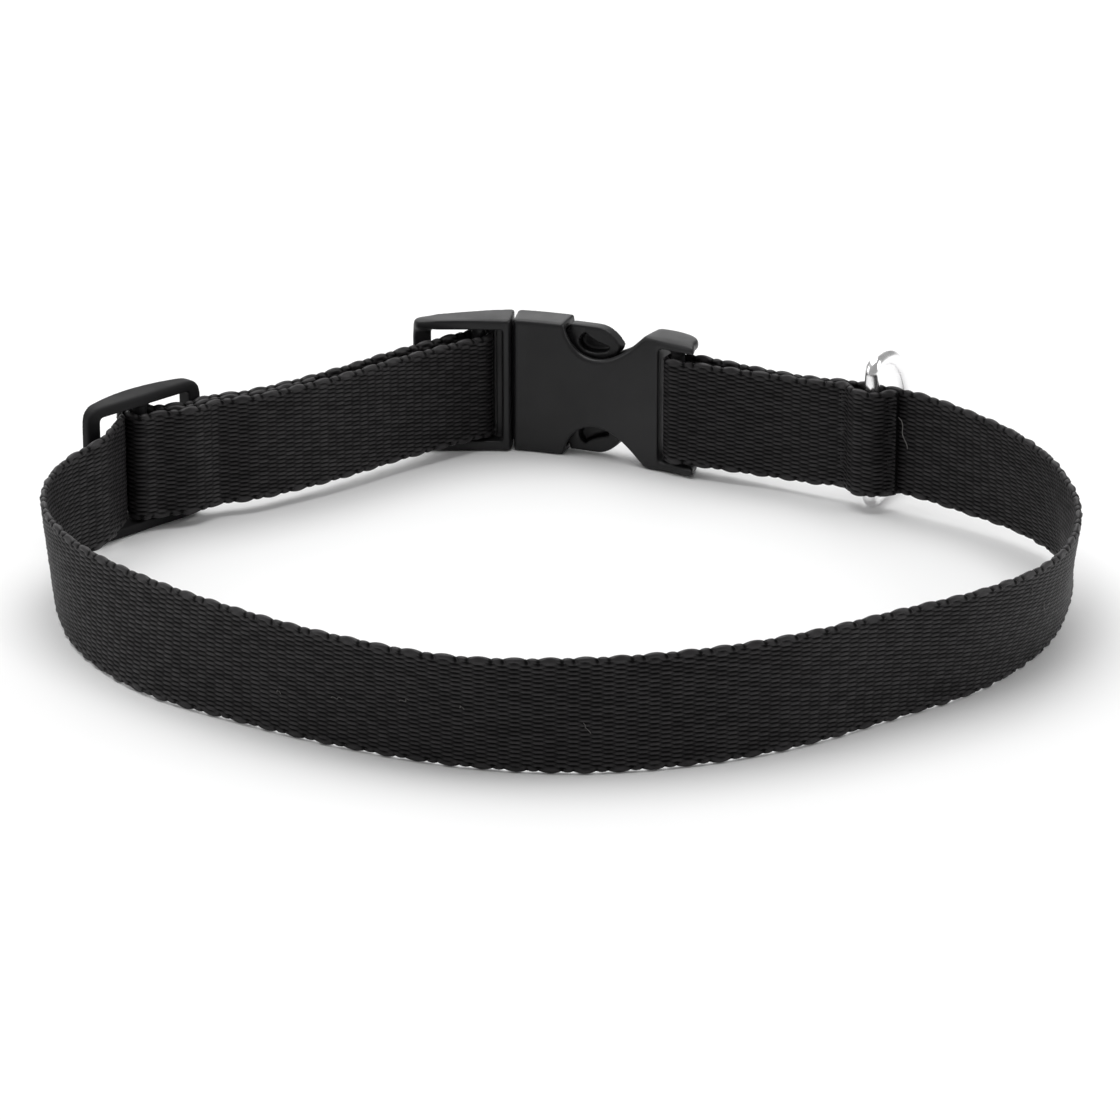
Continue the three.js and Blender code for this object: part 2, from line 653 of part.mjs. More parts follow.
// D-ring place
const ringAlong = RING_FROM_BUCKLE;
const pocketDepth = WIRE_DIAMETER + 2 * CLEARANCE + WEBBING_THICKNESS;

// How far the inner layer lies from the outer one between the buckle and the sewn end
function rightSpread(along) {
  const open = (2 * FOLD_RADIUS - LAYER_PITCH) * (1 - smooth(along, 0, SPREAD_LENGTH));
  const past = along - ringAlong;
  const pocket = (pocketDepth - LAYER_PITCH) * smooth(past, POCKET.rises, POCKET.full)
    * (1 - smooth(past, POCKET.falls, POCKET.shut));
  return LAYER_PITCH + open + pocket;
}

function webbingSections() {
  const start = railSection(0, 0);
  const end = railSection(RAIL_LENGTH, 0);
  const sliderExit = railLengthAt(planOf(slider, SLIDER_LENGTH / 2 + SLIDER_EXIT_GAP, 0));
  const leftSpread = (along) => {
    const share = (along - sliderExit) / (RAIL_LENGTH - sliderExit);
    return 2 * LAYER_PITCH + (2 * FOLD_RADIUS - 2 * LAYER_PITCH) * share * share;
  };
  const sewnEnd = ringAlong + SEWN_END_PAST_RING;
  const pocketStart = ringAlong + POCKET.rises;
  const innerRight = [
    ...range(sewnEnd, pocketStart, STRAP_STEP / 5),
    ...range(pocketStart, 0, STRAP_STEP / 2).slice(1),
  ].map((along) => railSection(along, rightSpread(along)));
  const femaleFold = foldRound(femaleBar, flat(start.way).negate(), flat(start.out).negate());
  const sliderEntry = railLengthAt(planOf(slider, -SLIDER_LENGTH / 2 - SLIDER_EXIT_GAP, 0));
  const loop = [
    ...range(0, sliderEntry, STRAP_STEP),
    ...range(sliderEntry, sliderExit, STRAP_STEP / 3).slice(1),
    ...range(sliderExit, RAIL_LENGTH, STRAP_STEP).slice(1),
  ].map((along) => railSection(along, 0));
  const maleFold = foldRound(maleBar, flat(end.way), flat(end.out));
  const innerLeft = range(RAIL_LENGTH, sliderExit, STRAP_STEP)
    .map((along) => railSection(along, leftSpread(along)));
  const local = (x, y) => {
    const at = planOf(slider, x, y);
    return { at: new THREE.Vector3(at.x, at.y, STRAP_RISE), tip: new THREE.Vector3() };
  };
  const layer = -CLEARANCE - WEBBING_THICKNESS / 2;
  const inside = layer - 2 * LAYER_PITCH;
  const barInside = SLIDER_BAR_DEPTH - FOLD_RADIUS;
  const toBar = TO_BAR_SHARES.map((share) => local(
    share * SLIDER_LENGTH / 2,
    THREE.MathUtils.lerp(barInside, inside, smooth(share, 0, LEVEL_SHARE))));
  const outwards = planOf(slider, 0, 1).sub(planOf(slider, 0, 0));
  const backwards = planOf(slider, -1, 0).sub(planOf(slider, 0, 0));
  const sliderFold = foldRound(planOf(slider, 0, SLIDER_BAR_DEPTH), backwards,
    outwards.clone().negate());
  const diagonal = FOLD_RADIUS * Math.SQRT1_2;
  const tailIn = layer - LAYER_PITCH;
  const drop = SLIDER_BAR_DEPTH + diagonal - tailIn;
  const fromBar = [
    local(0, barInside),
    ...sliderFold,
    local(0, SLIDER_BAR_DEPTH + FOLD_RADIUS),
    ...TAIL_DROP.map(({ along, down }) => local(
      diagonal + along * drop, SLIDER_BAR_DEPTH + diagonal - down * drop)),
  ];
  const tail = range(sliderExit, sliderExit + TAIL_LENGTH, STRAP_STEP)
    .map((along) => railSection(along, LAYER_PITCH));
  return [...innerRight, ...femaleFold, ...loop, ...maleFold, ...innerLeft, ...toBar,
    ...fromBar, ...tail];
}

function webbing() {
  const sections = webbingSections();
  const [w, t, c] = [WEBBING_WIDTH / 2, WEBBING_THICKNESS / 2, SELVAGE_CHAMFER];
  const corners = [
    [-w + c, -t], [w - c, -t], [w, -t + c], [w, t - c],
    [w - c, t], [-w + c, t], [-w, t - c], [-w, -t + c],
  ];
  const rings = sections.map((section, i) => {
    const before = sections[Math.max(0, i - 1)].at;
    const after = sections[Math.min(sections.length - 1, i + 1)].at;
    const way = after.clone().sub(before).normalize();
    const rise = Math.sqrt(WEBBING_WIDTH ** 2 - section.tip.lengthSq());
    const up = new THREE.Vector3(section.tip.x, section.tip.y, rise).normalize();
    const side = new THREE.Vector3().crossVectors(way, up).normalize();
    const middle = section.at.clone();
    middle.z += rise / 2;
    return corners.map(([along, across]) => middle.clone()
      .addScaledVector(up, along)
      .addScaledVector(side, across));
  });
  return loft(rings, false);
}

// D-ring: its straight bar lies in the strap's pocket and its bow stands outside
function ringPath() {
  const half = (WEBBING_WIDTH + 2 * RING_SLACK + WIRE_DIAMETER) / 2;
  const leg = RING_DEPTH - half;
  const path = new THREE.Path();
  path.moveTo(0, -half + RING_CORNER);
  path.lineTo(0, half - RING_CORNER);
  path.absarc(RING_CORNER, half - RING_CORNER, RING_CORNER, Math.PI, Math.PI / 2, true);
  path.lineTo(leg, half);
  path.absarc(leg, 0, half, Math.PI / 2, -Math.PI / 2, true);
  path.lineTo(RING_CORNER, -half);
  path.absarc(RING_CORNER, -half + RING_CORNER, RING_CORNER, -Math.PI / 2, -Math.PI, true);
  const points = path.getPoints(RING_CURVE_STEPS);
  return points.filter((point, i) => i === 0 || point.distanceTo(points[i - 1]) > 0.01)
    .filter((point, i, kept) => i === 0 || point.distanceTo(kept[0]) > 0.01);
}

function dRing() {
  const path = ringPath();
  const rings = path.map((point, i) => {
    const before = path[(i + path.length - 1) % path.length];
    const after = path[(i + 1) % path.length];
    const way = after.clone().sub(before).normalize();
    const out = new THREE.Vector3(0, -way.y, way.x);
    const side = new THREE.Vector3(1, 0, 0);
    return Array.from({ length: WIRE_SIDES }, (_, k) => {
      const angle = 2 * Math.PI * k / WIRE_SIDES;
      return new THREE.Vector3(0, point.x, point.y)
        .addScaledVector(out, WIRE_DIAMETER / 2 * Math.cos(angle))
        .addScaledVector(side, WIRE_DIAMETER / 2 * Math.sin(angle));
    });
  });
  return loft(rings, true);
}

// Makes sure that a body's faces point outwards
function facingOut(geometry) {
  const position = geometry.attributes.position;
  const corner = (k) => new THREE.Vector3().fromBufferAttribute(position, geometry.index.getX(k));
  let volume = 0;
  for (let i = 0; i < geometry.index.count; i += 3) {
    volume += corner(i).dot(corner(i + 1).cross(corner(i + 2)));
  }
  if (volume < 0) {
    const order = Array.from(geometry.index.array);
    for (let i = 0; i < order.length; i += 3) {
      [order[i], order[i + 1]] = [order[i + 1], order[i]];
    }
    geometry.setIndex(order);
  }
  return geometry;
}

function named(name, geometry, material) {
  const mesh = new THREE.Mesh(facingOut(geometry), material);
  mesh.name = name;
  return mesh;
}

// Assembly
const collar = new THREE.Group();
buckle.add(named('female_buckle', bent(femaleBuckle()), acetal));
buckle.add(named('male_buckle', bent(maleBuckle()), acetal));
slider.add(named('slider', geometryOf(triGlide()), acetal));

const ring = new THREE.Group();
const ringSeat = railSection(ringAlong, (WEBBING_THICKNESS + WIRE_DIAMETER) / 2 + CLEARANCE);
const ringHalf = (WEBBING_WIDTH + 2 * RING_SLACK) / 2 + WIRE_DIAMETER;
ring.position.set(ringSeat.at.x, ringSeat.at.y, ringHalf);
ring.rotation.z = Math.atan2(-ringSeat.out.x, ringSeat.out.y) + radians(RING_SWING_DEG);
ring.add(named('d_ring', dRing(), chromed));

collar.add(named('webbing', webbing(), nylon), buckle, slider, ring);

// The origin is under the middle of the collar's box
const bounds = new THREE.Box3().setFromObject(collar, true);
const middle = bounds.getCenter(new THREE.Vector3());
collar.position.set(-middle.x, -middle.y, -bounds.min.z);
collar.updateMatrixWorld(true);

export default collar;
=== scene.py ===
import json
import math

import bpy
import numpy as np
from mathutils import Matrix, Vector


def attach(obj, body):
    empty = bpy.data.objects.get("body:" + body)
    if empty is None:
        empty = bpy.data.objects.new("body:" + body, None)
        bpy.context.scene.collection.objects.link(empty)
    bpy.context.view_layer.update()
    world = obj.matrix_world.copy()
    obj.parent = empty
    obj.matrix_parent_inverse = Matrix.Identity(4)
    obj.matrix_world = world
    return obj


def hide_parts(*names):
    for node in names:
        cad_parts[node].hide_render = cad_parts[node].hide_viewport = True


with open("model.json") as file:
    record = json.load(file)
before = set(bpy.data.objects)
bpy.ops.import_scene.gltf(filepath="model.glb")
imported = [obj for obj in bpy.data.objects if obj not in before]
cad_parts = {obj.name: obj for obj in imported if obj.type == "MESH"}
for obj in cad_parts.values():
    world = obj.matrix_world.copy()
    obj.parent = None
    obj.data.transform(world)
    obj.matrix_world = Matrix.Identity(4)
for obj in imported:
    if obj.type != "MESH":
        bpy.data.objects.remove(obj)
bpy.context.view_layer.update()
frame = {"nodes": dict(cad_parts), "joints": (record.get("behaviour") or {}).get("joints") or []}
MM = 0.001

# The view: the collar stands on a white table, seen from in front and above, through a long lens
# and from far off, so that its front and its buckle come out nearly the same size.
VIEW_TARGET = Vector((0.00004, 0.02053, 0.0001))
VIEW_DISTANCE = 1.2
VIEW_ELEVATION = math.radians(21)
FOCAL_LENGTH = 177.4
SENSOR_WIDTH = 36
NEAREST_SEEN = 0.01

camera_data = bpy.data.cameras.new("camera")
camera_data.lens = FOCAL_LENGTH
camera_data.sensor_width = SENSOR_WIDTH
camera_data.clip_start = NEAREST_SEEN
camera = bpy.data.objects.new("camera", camera_data)
view_back = Vector((0, -math.cos(VIEW_ELEVATION), math.sin(VIEW_ELEVATION)))
camera.location = VIEW_TARGET + view_back * VIEW_DISTANCE
camera.rotation_euler = (-view_back).to_track_quat("-Z", "Y").to_euler()
bpy.context.scene.collection.objects.link(camera)
bpy.context.scene.camera = camera
bpy.context.scene.view_settings.view_transform = "Standard"


def new_material(name):
    """An empty node material and its shader."""
    material = bpy.data.materials.new(name)
    material.use_nodes = True
    return material, material.node_tree, material.node_tree.nodes["Principled BSDF"]


# The table: one plain matt white sheet that runs far past the picture on every side.
TABLE_SIZE = 6.0
TABLE_COLOR = (0.86, 0.86, 0.86, 1)
TABLE_ROUGHNESS = 0.9

table_mesh = bpy.data.meshes.new("table")
reach = TABLE_SIZE / 2
table_corners = [(-reach, -reach, 0), (reach, -reach, 0), (reach, reach, 0), (-reach, reach, 0)]
table_mesh.from_pydata(table_corners, [], [(0, 1, 2, 3)])
table = bpy.data.objects.new("table", table_mesh)
bpy.context.scene.collection.objects.link(table)
white, _, white_shader = new_material("white table")
white_shader.inputs["Base Color"].default_value = TABLE_COLOR
white_shader.inputs["Roughness"].default_value = TABLE_ROUGHNESS
white_shader.inputs["Specular IOR Level"].default_value = 0.0
table_mesh.materials.append(white)

# The studio light: a dim even room, a large soft light overhead, a backdrop behind the collar that
# lights its upward faces, and a panel on each side for the sheen on the ends of the band.
ROOM_LIGHT = 0.33


def soft_light(name, place, size, power):
    """A square light of the given side that faces the collar."""
    data = bpy.data.lights.new(name, "AREA")
    data.shape = "SQUARE"
    data.size = size
    data.energy = power
    light = bpy.data.objects.new(name, data)
    light.location = place
    light.rotation_euler = (-Vector(place)).to_track_quat("-Z", "Y").to_euler()
    bpy.context.scene.collection.objects.link(light)


soft_light("light above", (-0.12, 0.3, 1.5), 1.6, 24)
soft_light("backdrop", (-0.3, 1.8, 0.75), 2.0, 12)
soft_light("light left", (-1.3, -0.1, 0.5), 0.8, 3.5)
soft_light("light right", (1.3, 0.0, 0.5), 0.8, 5)

room = bpy.data.worlds.new("room")
room.use_nodes = True
room.node_tree.nodes["Background"].inputs["Color"].default_value = (1, 1, 1, 1)
room.node_tree.nodes["Background"].inputs["Strength"].default_value = ROOM_LIGHT
bpy.context.scene.world = room

# What the surfaces share: a fine grain, and the slow uneven patches that hands leave. One group
# gives both as values from 0 to 1, and each material uses them in its own way.
PATCHES_PER_GRAIN = 0.045
GRAIN_DETAIL = 3
PATCH_DETAIL = 5
NOISE_SPAN = (0.3, 0.7)


def surface_group():
    """Fine grain at the scale that is asked for, and patches more than twenty times as large."""
    group = bpy.data.node_groups.new("grain and patches", "ShaderNodeTree")
    group.interface.new_socket("Vector", in_out="INPUT", socket_type="NodeSocketVector")
    group.interface.new_socket("Scale", in_out="INPUT", socket_type="NodeSocketFloat")
    group.interface.new_socket("Grain", in_out="OUTPUT", socket_type="NodeSocketFloat")
    group.interface.new_socket("Patches", in_out="OUTPUT", socket_type="NodeSocketFloat")
    nodes, links = group.nodes, group.links
    given, result = nodes.new("NodeGroupInput"), nodes.new("NodeGroupOutput")
    coarse = nodes.new("ShaderNodeMath")
    coarse.operation = "MULTIPLY"
    coarse.inputs[1].default_value = PATCHES_PER_GRAIN
    links.new(given.outputs["Scale"], coarse.inputs[0])
    for socket, scale, detail in [
        ("Grain", given.outputs["Scale"], GRAIN_DETAIL),
        ("Patches", coarse.outputs["Value"], PATCH_DETAIL),
    ]:
        noise = nodes.new("ShaderNodeTexNoise")
        noise.inputs["Detail"].default_value = detail
        links.new(given.outputs["Vector"], noise.inputs["Vector"])
        links.new(scale, noise.inputs["Scale"])
        links.new(noise.outputs["Fac"], result.inputs[socket])
    return group


grain_and_patches = surface_group()


def surface_detail(tree, vector, scale):
    """Puts the shared group into a material and gives its two values."""
    node = tree.nodes.new("ShaderNodeGroup")
    node.node_tree = grain_and_patches
    node.inputs["Scale"].default_value = scale
    tree.links.new(vector, node.inputs["Vector"])
    return node.outputs["Grain"], node.outputs["Patches"]


def spread(tree, value, span, result):
    """Maps a value's span to a new one, held at its two ends."""
    node = tree.nodes.new("ShaderNodeMapRange")
    node.inputs["From Min"].default_value, node.inputs["From Max"].default_value = span
    node.inputs["To Min"].default_value, node.inputs["To Max"].default_value = result
    tree.links.new(value, node.inputs["Value"])
    return node.outputs["Result"]


def toned(color, factor):
    """A colour made darker or lighter."""
    return tuple(factor * part for part in color)


def mixed(tree, share, first, second):
    """A colour between two, each a plain colour or another colour's socket."""
    node = tree.nodes.new("ShaderNodeMix")
    node.data_type = "RGBA"
    tree.links.new(share, node.inputs["Factor"])
    for socket, color in (("A", first), ("B", second)):
        if isinstance(color, tuple):
            node.inputs[socket].default_value = (*color, 1)
        else:
            tree.links.new(color, node.inputs[socket])
    return node.outputs["Result"]


def bumped(tree, shader, height, strength, distance):
    """Raises the surface by a height from 0 to 1, in millimetres."""
    node = tree.nodes.new("ShaderNodeBump")
    node.inputs["Strength"].default_value = strength
    node.inputs["Distance"].default_value = distance * MM
    tree.links.new(height, node.inputs["Height"])
    tree.links.new(node.outputs["Normal"], shader.inputs["Normal"])


# The strap: one length of heavy nylon webbing. Thick yarns run along it over and under thin
# crosswise ones, in a brick pattern, and the crosswise yarn loops back along both edges. Lengths
# are in millimetres.
STRAP_EDGE = 11.62
STRAP_CORE = 0.34
YARN_RISE = 0.48
YARN_ROWS = 24
ROW_SAMPLES = 4
CROWN_POWER = 0.95
FLOAT_FLATNESS = 1.4
YARN_SCATTER = 0.25
FLOAT_PERIOD = 4.6
FLOAT_SAMPLES = 8
LOOP_PERIOD = 6.9
LOOP_SHARE = 0.66
LOOP_REACH = 0.55
SMALL_LOOP_REACH = 0.34
LOOP_POWER = 0.7
EDGE_ROUND = 0.42
EDGE_TURNS_DEG = [35.0, 90.0, 145.0]
# The relief kept on the edges, low in the dips between loops and high on the loops, sets only the
# painted shade and the gloss there, not the shape.
EDGE_SHADE_HEIGHTS = (0.12, 0.95)
PULL_FROM = 10.2
PULL_LENGTH = 1.5
WAY_STEP = 0.05
SCATTER_FACTORS = (12.9898, 78.233, 37.719)
SCATTER_GAIN = 43758.5453
YARN_COLOR = (0.0170, 0.0156, 0.0165)
# The gap colour is painted shade: the yarns fade to it where they dive between rows and in the dips
# between the edge loops.
GAP_SHADE_COLOR = (0.0012, 0.0011, 0.0012)
YARN_TONES = (0.7, 1.35)
FIBRE_STRETCH = (0.08, 1.0)
FIBRE_SCALE = 9.0
FLOAT_STRETCH = (0.45, 1.0)
FLOAT_SCALE = 1.3
# The span of relief over which the painted shade fades into the yarn's own colour.
GAP_SHADE_SPAN = (0.34, 0.78)
COATED_SPAN = (0.4, 0.9)
COAT_WEIGHTS = (0.0, 0.55)
NYLON_ROUGHNESS = (0.5, 0.7)


def solid_corners(node):
    """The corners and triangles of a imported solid, equal corners merged, in millimetres."""
    mesh = node.data
    corners = np.empty(len(mesh.vertices) * 3)
    mesh.vertices.foreach_get("co", corners)
    mesh.calc_loop_triangles()
    triangles = np.empty(len(mesh.loop_triangles) * 3, np.int64)
    mesh.loop_triangles.foreach_get("vertices", triangles)
    merged, index = np.unique(corners.reshape(-1, 3), axis=0, return_inverse=True)
    return merged / MM, index.reshape(-1)[triangles].reshape(-1, 3)


def strap_route():
    """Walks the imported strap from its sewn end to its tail, one ring of corners at a time. The end
    rings are those whose corners don't have six neighbours. Gives each section's middle and its
    upward direction, and the length walked."""
    corners, triangles = solid_corners(frame["nodes"]["webbing"])
    edges = np.concatenate([triangles[:, [0, 1]], triangles[:, [1, 2]], triangles[:, [2, 0]]])
    edges = np.unique(np.sort(edges, axis=1), axis=0)
    neighbours = np.bincount(edges.ravel(), minlength=len(corners))
    ring = (neighbours != 6) & (corners[:, 0] > 0)
    seen = ring.copy()
    middles, ups = [], []
    while ring.any():
        members = corners[ring]
        order = np.argsort(members[:, 2])
        low, high = members[order[:4]].mean(0), members[order[4:]].mean(0)
        middles.append((low + high) / 2)
        ups.append((high - low) / np.linalg.norm(high - low))
        touched = np.zeros(len(corners), bool)
        touched[edges[ring[edges].any(1)]] = True
        ring = touched & ~seen
        seen |= ring
    middles, ups = np.array(middles), np.array(ups)
    walked = np.concatenate([[0], np.cumsum(np.linalg.norm(np.diff(middles, axis=0), axis=1))])
    return walked, middles, ups


def between(walked, values, at):
    """Smooth values between stations: a cubic on each span with slopes from its neighbours."""
    slopes = np.gradient(values, walked, axis=0)
    i = np.clip(np.searchsorted(walked, at) - 1, 0, len(walked) - 2)
    span = (walked[i + 1] - walked[i])[:, None]
    x = ((at - walked[i]) / span[:, 0])[:, None]
    return ((1 + 2 * x) * (1 - x) ** 2 * values[i] + x * (1 - x) ** 2 * span * slopes[i]
            + x * x * (3 - 2 * x) * values[i + 1] + x * x * (x - 1) * span * slopes[i + 1])


walked, route_middles, route_ups = strap_route()


def strap_frames(along):
    """The strap's middle, upward and sideways directions at the given lengths along it."""
    middle = between(walked, route_middles, along)
    up = between(walked, route_ups, along)
    up /= np.linalg.norm(up, axis=1)[:, None]
    way = (between(walked, route_middles, along + WAY_STEP)
           - between(walked, route_middles, along - WAY_STEP))
    side = np.cross(way, up)
    return middle, up, side / np.linalg.norm(side, axis=1)[:, None]


STRAP_STEP = FLOAT_PERIOD / FLOAT_SAMPLES
stations = np.arange(0, walked[-1], STRAP_STEP)
strap_middle, strap_up, strap_side = strap_frames(stations)


def scatter(*cell):
    """A fixed random number from 0 to 1 for each cell: the broken part of a large sine."""
    mixed_up = sum(factor * part for factor, part in zip(SCATTER_FACTORS, cell))
    return np.abs(np.sin(mixed_up) * SCATTER_GAIN) % 1


def woven_height(along, across):
    """Yarn height from 0 to 1: a raised cosine along each float, cut off flat at its top, times a
    round section across it. The second set of yarns is shifted by half a float and half a row, and
    the higher yarn shows. Each float is a little lower than full by its own random share."""
    def yarns(shift):
        """One set of yarns, shifted by a share of a float and of a row."""
        float_at = along / FLOAT_PERIOD + shift
        row_at = across * YARN_ROWS / (2 * STRAP_EDGE) + shift
        rise = np.minimum(1, FLOAT_FLATNESS * (0.5 + 0.5 * np.cos(2 * np.pi * float_at)))
        crown = np.abs(np.cos(np.pi * row_at)) ** CROWN_POWER
        own = 1 - YARN_SCATTER * scatter(np.round(float_at), np.round(row_at), shift)
        return rise * crown * own
    return np.maximum(yarns(0), yarns(0.5))


def edge_loops(along):
    """How far the crosswise yarn's loops stand out: a long arch and a short one, over and over."""
    share = along / LOOP_PERIOD % 1
    long_arch = LOOP_REACH * np.sin(np.pi * np.clip(share / LOOP_SHARE, 0, 1)) ** LOOP_POWER
    short_arch = SMALL_LOOP_REACH * np.sin(
        np.pi * np.clip((share - LOOP_SHARE) / (1 - LOOP_SHARE), 0, 1)) ** LOOP_POWER
    return long_arch + short_arch


def piece_of(name, points, faces):
    """A smooth-shaded object from points in millimetres and faces."""
    mesh = bpy.data.meshes.new(name)
    mesh.from_pydata(points * MM, [], faces)
    mesh.update()
    mesh.polygons.foreach_set("use_smooth", np.ones(len(mesh.polygons), bool))
    piece = bpy.data.objects.new(name, mesh)
    bpy.context.scene.collection.objects.link(piece)
    return piece


def skin_faces(rings, closed_along=False):
    """The faces of a closed skin over rings of points: each ring closed, the ends capped or
    joined. Faces are turned outwards."""
    count, size = rings.shape[:2]
    points = rings.reshape(-1, 3)
    spans = count if closed_along else count - 1
    i, k = np.meshgrid(np.arange(spans), np.arange(size), indexing="ij")
    here, then = i * size, (i + 1) % count * size
    following = (k + 1) % size
    quads = np.stack([here + k, here + following, then + following, then + k], -1).reshape(-1, 4)
    corners = points[quads] - points.mean(0)
    volume = np.einsum("ij,ij->", corners[:, 0], np.cross(corners[:, 1], corners[:, 2]))
    volume += np.einsum("ij,ij->", corners[:, 0], np.cross(corners[:, 2], corners[:, 3]))
    faces = quads.tolist()
    if not closed_along:
        faces += [list(range(size))[::-1], [(count - 1) * size + n for n in range(size)]]
    return [face[::-1] for face in faces] if volume < 0 else faces


def flat_ends(piece):
    """Makes the last two faces flat, with sharp rims."""
    mesh = piece.data
    for face in (mesh.polygons[-1], mesh.polygons[-2]):
        face.use_smooth = False
        for loop in face.loop_indices:
            mesh.edges[mesh.loops[loop].edge_index].use_edge_sharp = True


def point_values(piece, name, values):
    """Stores one number for each point of a mesh."""
    piece.data.attributes.new(name, "FLOAT", "POINT").data.foreach_set("value", values.ravel())


def unwrap(piece, u, v):
    """Lays the mesh flat from two numbers for each point."""
    mesh = piece.data
    which = np.empty(len(mesh.loops), np.int64)
    mesh.loops.foreach_get("vertex_index", which)
    flat = np.stack([u.ravel()[which], v.ravel()[which]], -1)
    mesh.uv_layers.new(name="flat").data.foreach_set("uv", flat.ravel())


def strap_piece(name, first, last):
    """The strap between two stations: both faces with their yarns, and the looped edges. Each
    section is a ring: one face, the upper edge, the other face, the lower edge. Near an edge the
    face is drawn out by the loops, and the relief kept for the painted shade eases into the
    edge's own: low in the dips between loops, where the shade is painted, high on the loops."""
    along = stations[first:last + 1][:, None]
    level = np.linspace(-STRAP_EDGE, STRAP_EDGE, YARN_ROWS * ROW_SAMPLES + 1)[None, :]
    height = woven_height(along, level)
    loops = edge_loops(along)
    thickness = STRAP_CORE + YARN_RISE * height
    pull = np.clip((np.abs(level) - PULL_FROM) / PULL_LENGTH, 0, 1) ** 2
    # The edge's relief feeds only the stored relief, which paints shade in the dips between loops.
    edge_shade_relief = np.interp(loops, (0, SMALL_LOOP_REACH), EDGE_SHADE_HEIGHTS)
    height = height + pull * (edge_shade_relief - height)
    face_level = level + np.sign(level) * pull * loops
    turn = np.radians(EDGE_TURNS_DEG)[None, :]
    edge_side = EDGE_ROUND * np.cos(turn) + 0 * loops
    edge_level = STRAP_EDGE + loops + EDGE_ROUND * np.sin(turn)
    side = np.concatenate([thickness, edge_side, -thickness[:, ::-1], -edge_side], axis=1)
    rise = np.concatenate([face_level, edge_level, face_level[:, ::-1], -edge_level], axis=1)
    edge_shade_height = edge_shade_relief + 0 * edge_side
    relief = np.concatenate([height, edge_shade_height, height[:, ::-1], edge_shade_height], axis=1)
    middle, up, aside = (part[first:last + 1][:, None]
                         for part in (strap_middle, strap_up, strap_side))
    rings = middle + rise[..., None] * up + side[..., None] * aside
    rings[..., 2] = np.maximum(rings[..., 2], 0)
    piece = piece_of(name, rings.reshape(-1, 3), skin_faces(rings))
    flat_ends(piece)
    point_values(piece, "relief", relief)
    unwrap(piece, along + 0 * rise, rise)
    return piece


def nylon_material():
    """Spun nylon: painted shade between the yarns, where their relief is low, a little glossy on
    them, with fine fibres lengthwise and lighter and darker floats."""
    material, tree, shader = new_material("black nylon webbing")
    nodes, links = tree.nodes, tree.links
    relief = nodes.new("ShaderNodeAttribute")
    relief.attribute_name = "relief"
    flat = nodes.new("ShaderNodeUVMap")
    flat.uv_map = "flat"

    def stretched(factors):
        """The flat strap's own coordinates, times a factor along it and one across it."""
        node = nodes.new("ShaderNodeMapping")
        node.inputs["Scale"].default_value = (*factors, 1)
        links.new(flat.outputs["UV"], node.inputs["Vector"])
        return node.outputs["Vector"]

    fibres, _ = surface_detail(tree, stretched(FIBRE_STRETCH), FIBRE_SCALE)
    floats, _ = surface_detail(tree, stretched(FLOAT_STRETCH), FLOAT_SCALE)
    # Painted shade: the yarns fade to the gap colour where their relief is low.
    raised = spread(tree, relief.outputs["Fac"], GAP_SHADE_SPAN, (0, 1))
    dark, light = (toned(YARN_COLOR, factor) for factor in YARN_TONES)
    yarn = mixed(tree, spread(tree, floats, NOISE_SPAN, (0, 1)), dark, light)
    links.new(mixed(tree, raised, GAP_SHADE_COLOR, yarn), shader.inputs["Base Color"])
    links.new(spread(tree, fibres, NOISE_SPAN, NYLON_ROUGHNESS), shader.inputs["Roughness"])
    links.new(spread(tree, relief.outputs["Fac"], COATED_SPAN, COAT_WEIGHTS),
              shader.inputs["Coat Weight"])
    bumped(tree, shader, fibres, strength=0.5, distance=0.06)
    shader.inputs["Specular IOR Level"].default_value = 0.08
    shader.inputs["Coat Roughness"].default_value = 0.45
    shader.inputs["Sheen Weight"].default_value = 0.02
    shader.inputs["Sheen Roughness"].default_value = 0.4
    return material


# The strap is made in four lengths, so that none has too many faces: it is cut where the front
# band begins and ends and in its fold round the male half's bar.
RIGHT_CUT = (88, -58)
LEFT_CUT = (-88, -58)
FOLD_CUT = (-20, 90)

nylon = nylon_material()
last_station = len(stations) - 1


def station_near(x, y, start=0):
    """The station nearest to a place in plan, from a given one on, at the start of its float."""
    places = strap_middle[start:last_station]
    away = np.hypot(places[:, 0] - x, places[:, 1] - y)
    return (start + int(np.argmin(away))) // FLOAT_SAMPLES * FLOAT_SAMPLES


right_end = station_near(*RIGHT_CUT)
left_end = station_near(*LEFT_CUT)
male_fold = station_near(*FOLD_CUT, start=left_end)
cuts = [0, right_end, left_end, male_fold, last_station]
names = ["webbing_right", "webbing_front", "webbing_left", "webbing_inner_left"]
for name, first, last in zip(names, cuts, cuts[1:]):
    piece = strap_piece(name, first, last)
    piece.data.materials.append(nylon)
    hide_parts("webbing")
    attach(piece, "collar")

# The threads: thin ones that tie the loops down along both edges, the rungs of a bar tack on each
# side of the ring's pocket and on the layer outside it, one loose end that hangs at the sewn end,
# and a few short fibres of lint.
TIE_RADIUS = 0.11
TIE_SIDES = 6
TIE_TURNS_DEG = np.linspace(-80, 80, 6)
TIE_REACH = 0.62
TIE_FOOT = 11.2
TIE_RISE = 0.82
TIE_SLANT = 0.55
TACK_RADIUS = 0.16
TACK_PITCH = 0.85
TACK_HALF_LENGTH = 1.0
TACK_TOP = 10.8
TACK_STAND_OUT = 0.86
TACK_SHARES = np.array([-1.0, -0.85, 0.0, 0.85, 1.0])
TACK_DROPS = np.array([0.4, 0.1, 0.0, 0.1, 0.4])
TACKS_ALONG = [1.35, 15.2]
ASKEW = np.array([0.31, 0.52, 0.83])
THREAD_COLOR = (0.016, 0.015, 0.016)
THREAD_TONES = (0.6, 1.3)
THREAD_GRAIN_SCALE = 4000
THREAD_ROUGHNESS = (0.4, 0.6)


